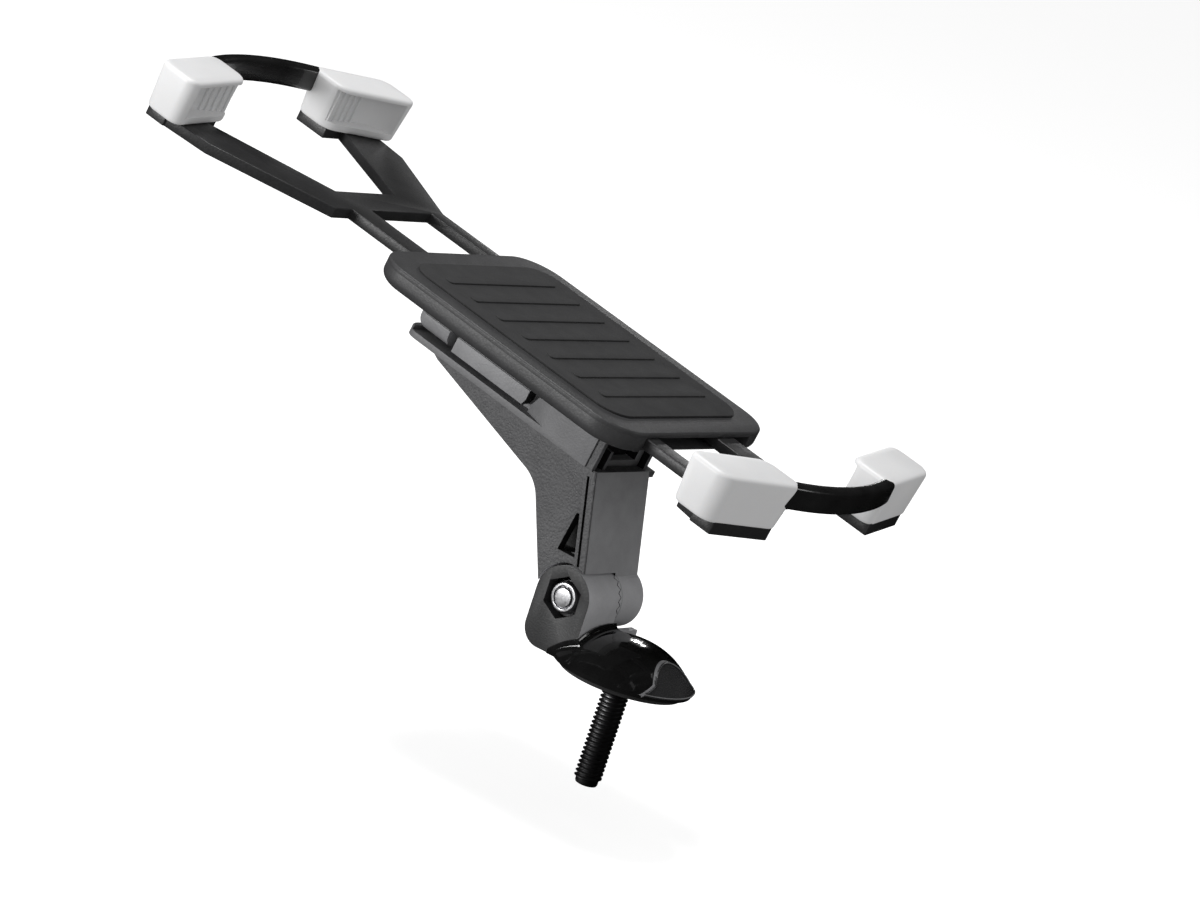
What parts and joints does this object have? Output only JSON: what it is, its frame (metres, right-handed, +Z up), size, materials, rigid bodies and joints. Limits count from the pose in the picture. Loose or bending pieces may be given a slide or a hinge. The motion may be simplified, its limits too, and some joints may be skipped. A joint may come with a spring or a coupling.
{
  "type": "bicycle phone mount",
  "caption": "Stem-cap phone mount for a bicycle: glossy domed top cap, toothed tilt hinge, arm with a quick-release dock, and a cradle whose two sliding jaws hold a phone by its corners.",
  "frame": {"origin": "centre of the cap's face that sits on the stem, on the steerer axis", "axes": "+Z up along the steerer axis, +Y towards the front of the bicycle, +X to the rider's right"},
  "size_m": [0.0822, 0.1787, 0.1154],
  "materials": {
    "cap_plastic": "fine moulded texture, satin",
    "gloss_black": "polished gloss",
    "badge_satin": "satin, blank",
    "dark_steel": "black oxide",
    "zinc_steel": "bright zinc plating",
    "spring_steel": "drawn wire",
    "nylon_ring": "dark nylon",
    "arm_plastic": "fine spark-eroded texture",
    "foot_plastic": "fine texture",
    "cradle_plastic": "satin",
    "pad_rubber": "soft matt",
    "gear_acetal": "natural acetal",
    "jaw_plastic": "satin",
    "grip_rubber": "silk-smooth silicone rubber"
  },
  "bodies": {
    "cap": {"cap_base": "cap_plastic", "dome_cover": "gloss_black", "badge_plate": "badge_satin", "steerer_bolt": "dark_steel", "steerer_washer": "zinc_steel", "lock_nut": "zinc_steel", "nut_locking_ring": "nylon_ring", "pivot_bolt": "zinc_steel", "pivot_washer": "zinc_steel"},
    "arm": {"arm_bracket": "arm_plastic", "dock_tray": "arm_plastic", "dock_screws": "dark_steel"},
    "cradle": {"cradle_foot": "foot_plastic", "foot_screws": "dark_steel", "lever_pin": "zinc_steel", "lever_spring": "spring_steel", "cradle_shell": "cradle_plastic", "cradle_cover": "cradle_plastic", "shell_screws": "dark_steel", "rubber_pad": "pad_rubber", "pinion_pin": "zinc_steel"},
    "lever": {"release_lever": "foot_plastic"},
    "gear": {"pinion": "gear_acetal", "closing_spring": "spring_steel"},
    "front": {"front_jaw": "jaw_plastic", "front_bar": "gloss_black", "front_left_grip": "grip_rubber", "front_right_grip": "grip_rubber"},
    "rear": {"rear_jaw": "jaw_plastic", "rear_bar": "gloss_black", "rear_left_grip": "grip_rubber", "rear_right_grip": "grip_rubber"}
  },
  "joints": [
    {"name": "arm_tilt", "type": "hinge", "parent": "cap", "child": "arm", "pos_m": [0, 0.0135, 0.0122], "axis": [1, 0, 0], "range_deg": [-30, 60]},
    {"name": "cradle_slide", "type": "slide", "parent": "arm", "child": "cradle", "axis": [0, 0.9833, 0.1822], "range_m": [0, 0.019]},
    {"name": "release_lever", "type": "hinge", "parent": "cradle", "child": "lever", "pos_m": [0, 0.06273, 0.05265], "axis": [1, 0, 0], "range_deg": [0, 12], "stiffness_Nm_per_rad": 0.05},
    {"name": "front_jaw_slide", "type": "slide", "parent": "cradle", "child": "front", "axis": [0, 0.9833, 0.1822], "range_m": [-0.018, 0.004]},
    {"name": "rear_jaw_slide", "type": "slide", "parent": "cradle", "child": "rear", "axis": [0, 0.9833, 0.1822], "range_m": [-0.004, 0.018]},
    {"name": "pinion_turn", "type": "hinge", "parent": "cradle", "child": "gear", "pos_m": [0, 0.037, 0.05866], "axis": [0, -0.1822, 0.9833], "range_deg": [-38.3, 172]}
  ],
  "couplings": [
    {"joint": "rear_jaw_slide", "follows": "front_jaw_slide", "ratio": -1},
    {"joint": "pinion_turn", "follows": "front_jaw_slide", "rad_per_m": -166.67}
  ]
}
